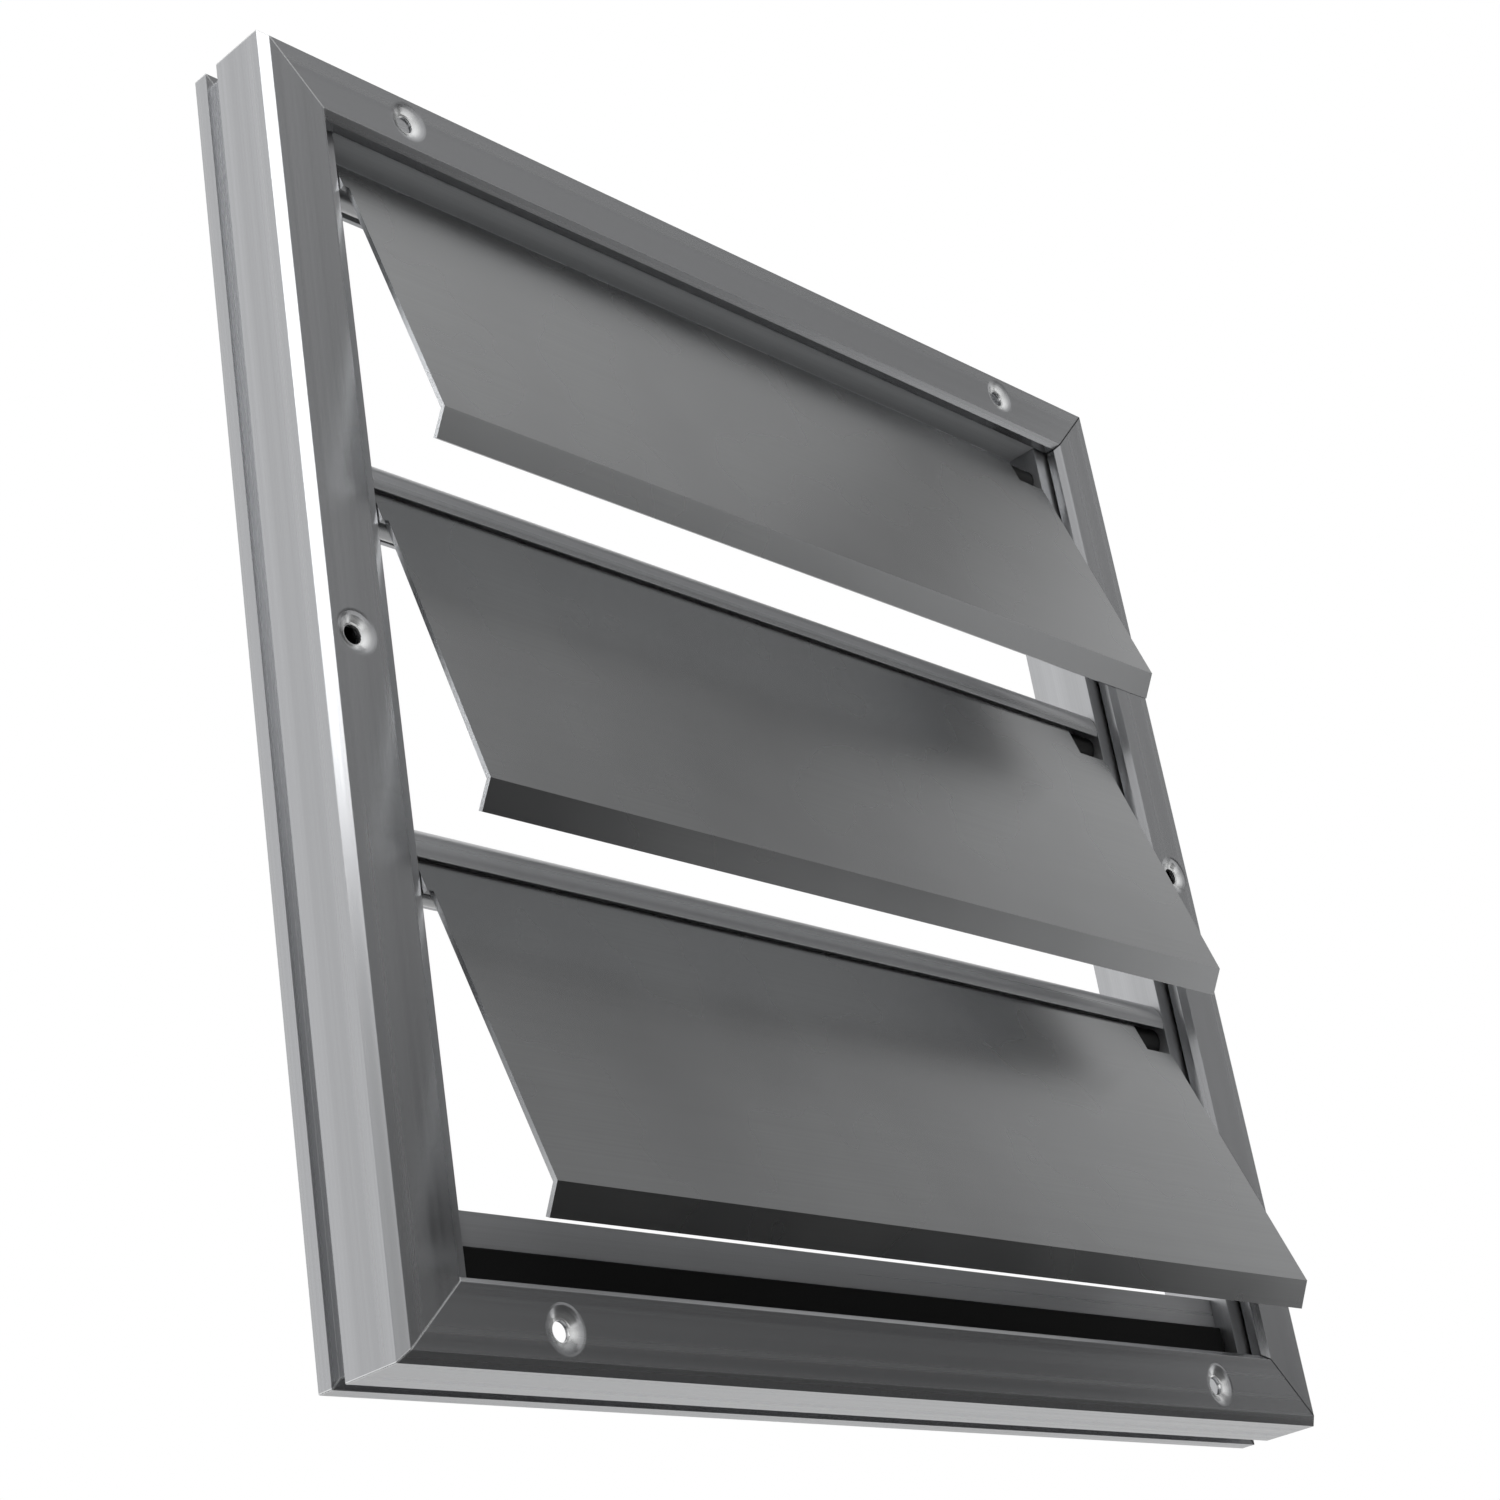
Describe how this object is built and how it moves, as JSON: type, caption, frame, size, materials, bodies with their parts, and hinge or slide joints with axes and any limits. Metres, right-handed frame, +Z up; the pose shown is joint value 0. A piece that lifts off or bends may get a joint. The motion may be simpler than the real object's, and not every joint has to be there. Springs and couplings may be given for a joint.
{
  "type": "pressure relief grille",
  "caption": "Square aluminium wall grille with a mitred flanged frame and free-hanging gravity blades that swing outward to relieve air pressure.",
  "frame": {"origin": "centre of the rectangle of the four top and bottom screw holes, at the middle of the holes' straight part, 2.25 mm behind the flange's front face", "axes": "+Z up, +X to the right seen from the front, +Y into the wall; the blades swing out towards -Y"},
  "size_m": [0.35, 0.052, 0.35],
  "materials": {
    "frame_aluminium": "satin anodised, brushed along the bars",
    "blade_aluminium": "mill finish, smooth",
    "rail_aluminium": "mill finish, extruded",
    "zinc_steel": "zinc plated",
    "rod_steel": "drawn, bright",
    "black_nylon": "moulded, matt",
    "black_rubber": "extruded, matt"
  },
  "bodies": {
    "grille_frame": {"frame_top": "frame_aluminium", "frame_bottom": "frame_aluminium", "frame_left": "frame_aluminium", "frame_right": "frame_aluminium", "cleat_top_left": "zinc_steel", "cleat_top_right": "zinc_steel", "cleat_bottom_left": "zinc_steel", "cleat_bottom_right": "zinc_steel", "side_plate_left": "rail_aluminium", "side_plate_right": "rail_aluminium", "head_rail": "rail_aluminium", "upper_cross_rail": "rail_aluminium", "lower_cross_rail": "rail_aluminium", "bottom_rail": "rail_aluminium", "left_bush_upper": "black_nylon", "left_bush_middle": "black_nylon", "left_bush_lower": "black_nylon", "right_bush_upper": "black_nylon", "right_bush_middle": "black_nylon", "right_bush_lower": "black_nylon", "bottom_seal": "black_rubber", "rail_screws_left": "zinc_steel", "rail_screws_right": "zinc_steel"},
    "upper_blade": {"blade_upper": "blade_aluminium", "hinge_rod_upper": "rod_steel", "rod_clips_upper": "zinc_steel"},
    "middle_blade": {"blade_middle": "blade_aluminium", "hinge_rod_middle": "rod_steel", "rod_clips_middle": "zinc_steel"},
    "lower_blade": {"blade_lower": "blade_aluminium", "hinge_rod_lower": "rod_steel", "rod_clips_lower": "zinc_steel"}
  },
  "joints": [
    {"name": "upper_blade_hinge", "type": "hinge", "parent": "grille_frame", "child": "upper_blade", "pos_m": [0, 0.01115, 0.145], "axis": [-1, 0, 0], "range_deg": [-12.5, 27.9]},
    {"name": "middle_blade_hinge", "type": "hinge", "parent": "grille_frame", "child": "middle_blade", "pos_m": [0, 0.01115, 0.045], "axis": [-1, 0, 0], "range_deg": [-12, 28.4]},
    {"name": "lower_blade_hinge", "type": "hinge", "parent": "grille_frame", "child": "lower_blade", "pos_m": [0, 0.01115, -0.055], "axis": [-1, 0, 0], "range_deg": [-16.5, 25.5]}
  ]
}
